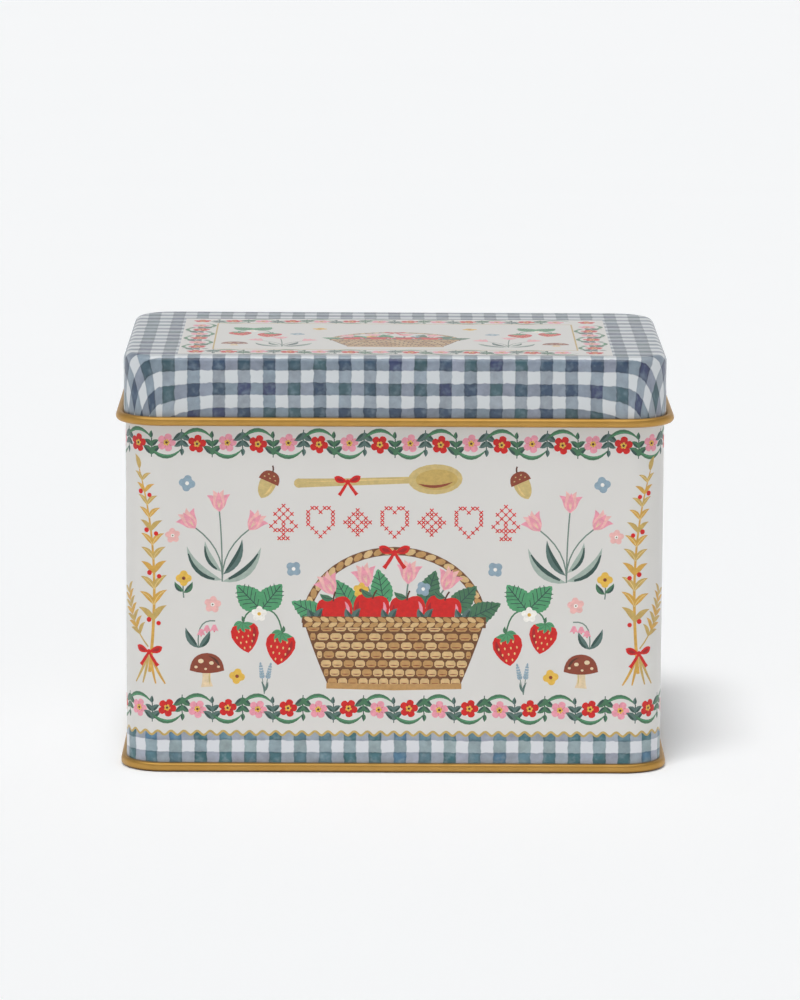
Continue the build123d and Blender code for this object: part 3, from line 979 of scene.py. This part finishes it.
def printed_coat(name, surface, outline, sheet):
    """Cuts a flat sheet along every outline drawn on it and wraps it on a surface as a thin closed coat."""
    points, shapes = [], []
    for shape in [outline] + [shape for shape, _ in sheet]:
        shapes.append(list(range(len(points), len(points) + len(shape))))
        points += [Vector(p) for p in shape]
    low, high = outline[0][1], outline[-1][1]
    creases = [Vector((u, v)) for u in surface.folds() for v in (low, high)]
    flat, pieces, _, owners = cut(points + creases, pairs_from(len(points), creases), shapes)
    inks = ["ground"] + [ink for _, ink in sheet]
    # A piece takes the ink of the last outline drawn over it. What lies outside the sheet is dropped.
    kept = [(list(face), inks[max(own)]) for face, own in zip(pieces, owners) if 0 in own]
    used = sorted({v for face, _ in kept for v in face})
    number = {v: i for i, v in enumerate(used)}
    flat = [flat[v] for v in used]
    outer = [[number[v] for v in face] for face, _ in kept]
    # The inner skin has the outer one's edge, and only the creases between.
    ways = {(a, b) for face in outer for a, b in zip(face, face[1:] + face[:1])}
    following = {a: b for a, b in ways if (b, a) not in ways}
    edge = [min(following)]
    while following[edge[-1]] != edge[0]:
        edge.append(following[edge[-1]])
    count, around = len(flat), len(edge)
    flat += [flat[v] for v in edge]
    _, pieces, sources, _ = cut(flat[count:] + creases, pairs_from(around, creases), [list(range(around))])
    inner = [[count + min(sources[v]) for v in face][::-1] for face in pieces]
    walls = [[edge[i], edge[i - 1], count + (i - 1) % around, count + i] for i in range(around)]
    top = [surface.place(p.x, p.y, COAT_TOP) for p in flat[:count]]
    foot = [surface.place(p.x, p.y, COAT_FOOT) for p in flat[count:]]
    mesh = bpy.data.meshes.new(name)
    mesh.from_pydata([spot for spot, _ in top + foot], [], outer + inner + walls)
    inks = [ink for _, ink in kept] + ["ground"] * (len(inner) + len(walls))
    directions = [way for _, way in top] + [-way for _, way in foot]
    paint_coat(mesh, flat, inks, directions, len(outer) + len(inner))
    piece = bpy.data.objects.new(name, mesh)
    bpy.context.scene.collection.objects.link(piece)
    return piece


def paint_coat(mesh, flat, inks, directions, skinned):
    """Gives a coat its inks, the map of its flat sheet and the true direction of the metal under it."""
    tint = {ink: srgb(INKS.get(ink, INKS["ground"])) for ink in set(inks)}
    colours, checks, maps, normals = [], [], [], []
    for face, ink in zip(mesh.polygons, inks):
        face.use_smooth = True
        cover = 0.0 if ink == "ground" else 1.0
        for loop in face.loop_indices:
            v = mesh.loops[loop].vertex_index
            colours += (*tint[ink][:3], cover)
            checks.append(1.0 if ink == CHECK else 0.0)
            maps += (flat[v] * MM)[:]
            normals.append(directions[v] if face.index < skinned else face.normal.copy())
    mesh.color_attributes.new("ink", "FLOAT_COLOR", "CORNER")
    mesh.attributes.new("check", "FLOAT", "CORNER")
    mesh.uv_layers.new(name="flat print")
    mesh.color_attributes["ink"].data.foreach_set("color", colours)
    mesh.attributes["check"].data.foreach_set("value", checks)
    mesh.uv_layers["flat print"].data.foreach_set("uv", maps)
    mesh.normals_split_custom_set(normals)


def body_print():
    """Draws the whole body print and lays it on the wall."""
    surface = BodySide()
    right = surface.back_middle - SEAM_CENTRE - SEAM_STRIP / 2
    left = surface.back_middle - SEAM_CENTRE + SEAM_STRIP / 2 - surface.around
    outline = [(left, PRINT_FOOT), (right, PRINT_FOOT), (right, PRINT_TOP), (left, PRINT_TOP)]
    sheet = []
    b = Brush(sheet)
    waves = range(math.floor(left / WAVE_PITCH) - 1, math.ceil(right / WAVE_PITCH) + 2)
    steps = 10
    wave = [(WAVE_PITCH * (n + k / steps), WAVE_HEIGHT + WAVE_SWING * math.cos(2 * math.pi * k / steps))
            for n in waves for k in range(steps)]
    below = PRINT_FOOT - 5.0    # the check runs on under the sheet's edge
    b.fill([(wave[0][0], below), (wave[-1][0], below)] + wave[::-1], CHECK)
    b.stem(wave, WAVE_WIDTH, "gold")
    for n in range(math.floor(left / BORDER_PITCH), math.ceil(right / BORDER_PITCH) + 1):
        border_unit(b.at(n * BORDER_PITCH, TOP_BORDER), 1)
        border_unit(b.at((n + 0.5) * BORDER_PITCH, FOOT_BORDER), -1)
    long_scene(b, "tree heart star heart star heart tree", True)
    short_scene(b.at(surface.side_middle, 0))
    short_scene(b.at(-surface.side_middle, 0))
    # The hinge straps cover the back's upper corners, so no acorns are drawn there.
    long_scene(b.at(-surface.back_middle, 0), "heart tree heart star heart tree heart", False)
    # The branches stand just off the middle of each corner, towards the long sides.
    aside, branch_foot = 5, 31.5
    front = surface.front_end + surface.bend / 2 - aside
    back = surface.side_end + surface.bend / 2 + aside
    for x, side in ((front, 1), (-front, -1), (back, -1), (-back, 1)):
        bay_branch(b.at(x, branch_foot, side=side))
    coat = printed_coat("body_print", surface, outline, sheet)
    print_finish().dress(coat)
    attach(coat, "tin")


def lid_print():
    """Draws the pale panel of the lid's top and lays it on the metal."""
    half, front, back = 67.5, -46.8, 32.3
    middle = (front + back) / 2
    outline = [(-half, front), (half, front), (half, back), (-half, back)]
    sheet = []
    b = Brush(sheet)
    border_in, line_in = 5.4, 10.6
    for y, flip in ((front + border_in, 1), (back - border_in, -1)):
        for n in range(-3, 3):
            border_unit(b.at((n + 0.5) * BORDER_PITCH, y), flip)
    for x in (-half + border_in, half - border_in):
        for n in range(-1, 2):
            border_unit(b.at(x, middle + n * BORDER_PITCH, 90), 1)
        for y in (front + border_in, back - border_in):
            petal_flower(b.at(x, y, 20), 2.9, "red", "crimson")
    x, low, high = half - line_in, front + line_in, back - line_in
    lines = [(-x, low), (x, low)], [(-x, high), (x, high)], [(-x, low), (-x, high)], [(x, low), (x, high)]
    for line in lines:
        b.stem(line, 0.5, "gold")
    basket(b.at(0, middle - 22, 0, 0.72))
    for s in b.at(0, middle).pair():
        strawberry_bunch(s.at(45.0, 13.0, 0, 0.85))
        tulip_clump(s.at(35.5, -23.0, 0, 0.7))
        mushroom(s.at(50.5, -21.0, 0, 0.8))
        small_flower(s.at(31.0, 5.0, 10), 2.4, "blue")
        small_flower(s.at(24.0, 17.0, 10), 2.4, "yellow", "brown")
    coat = printed_coat("lid_panel_print", LidPanel(), outline, sheet)
    print_finish().dress(coat)
    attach(coat, "lid")


# ---------------------------------------------------------------- dressing the metal and the cards
def dress_nodes():
    lid_finish().dress(nodes["lid"])
    base_finish().dress(nodes["base_pan"])
    tin_finish("bright tinplate", "#B4B3AE", "#CFCDC6").dress(nodes["body_wall"])
    steel = tin_finish("hinge steel", "#8F9092", "#B3B4B5")
    steel.dress(nodes["hinge_wire"], nodes["hinge_strap_left"], nodes["hinge_strap_right"])
    card = card_finish()
    tones = [("#CBB98E", "#DCCDA6"), ("#9DB0A2", "#B1C1B4"), ("#A9B6BF", "#BAC6CD"), ("#D5A9A2", "#E2BDB5")]
    stocks = [guide_finish(f"guide stock {i + 1}", *tone) for i, tone in enumerate(tones)]
    for name, piece in nodes.items():
        if name.startswith("cards_"):
            card.dress(piece)
        if name.startswith("guide_"):
            stocks[(int(name.split("_")[1]) - 1) % len(stocks)].dress(piece)


# ---------------------------------------------------------------- floor, light and camera
def floor():
    """A plain pale sweep, partly lit from below, as on a light table."""
    bpy.ops.mesh.primitive_plane_add(size=60.0, location=(0, 0, 0))
    ground = bpy.context.object
    ground.name = "floor"
    f = Finish("pale floor")
    dust = f.noise(f.object_place(), 40.0)
    f.set(base_color=f.mix(dust, (0.932, 0.942, 0.951, 1), (0.938, 0.948, 0.957, 1)), roughness=0.9)
    f.set(specular_ior_level=0.0, emission_color=(0.980, 0.995, 1.012, 1), emission_strength=0.11)
    f.dress(ground)


def light():
    """Soft studio light: a key high on the left, a broad sheet for the gloss, and the room."""
    bpy.ops.object.light_add(type="SUN", location=(-1, -1, 4))
    key = bpy.context.object
    key.name = "key light"
    key.rotation_euler = Vector((-0.12, -0.34, 1.0)).to_track_quat("Z", "Y").to_euler()
    key.data.energy = 1.8
    key.data.angle = math.radians(20)
    key.visible_glossy = False
    bpy.ops.object.light_add(type="AREA", location=(-0.1, -0.1, 1.6))
    sheen = bpy.context.object
    sheen.name = "gloss light"
    sheen.rotation_euler = sheen.location.to_track_quat("Z", "Y").to_euler()
    sheen.data.shape = "RECTANGLE"
    sheen.data.size, sheen.data.size_y = 1.6, 2.2
    sheen.data.energy = 20.0
    sheen.visible_diffuse = False
    world = bpy.data.worlds.new("studio")
    bpy.context.scene.world = world
    world.use_nodes = True
    # The room is bright near the ground and dim overhead.
    f = Shader(world.node_tree)
    _, _, z = f.split(f.node("ShaderNodeTexCoord"))
    low, high = 0.72, 0.25
    background = f.tree.nodes["Background"]
    f.feed(background.inputs["Color"], (1.0, 1.0, 1.0, 1.0))
    f.feed(background.inputs["Strength"], low + (high - low) * f.ramp(z, 0.2, 0.6))


def camera():
    """The photograph's view: a long lens from a little above, fitted to the box's edges."""
    place = Vector((-0.00699, -1.66918, 0.36758))
    pitch, yaw, roll = math.radians(9.856), math.radians(-0.305), math.radians(0.298)
    focal_pixels, image_height, sensor = 5286.1, 1000, 36.0
    bpy.ops.object.camera_add()
    cam = bpy.context.object
    cam.matrix_world = (Matrix.Translation(place) @ Matrix.Rotation(yaw, 4, "Z")
                        @ Matrix.Rotation(math.pi / 2 - pitch, 4, "X") @ Matrix.Rotation(roll, 4, "Z"))
    cam.data.sensor_width = sensor
    cam.data.lens = focal_pixels * sensor / image_height
    cam.data.clip_start = 0.05
    cam.data.clip_end = 200.0
    bpy.context.scene.camera = cam
    bpy.context.scene.view_settings.view_transform = "Standard"


camera()
floor()
light()
dress_nodes()
body_print()
lid_print()
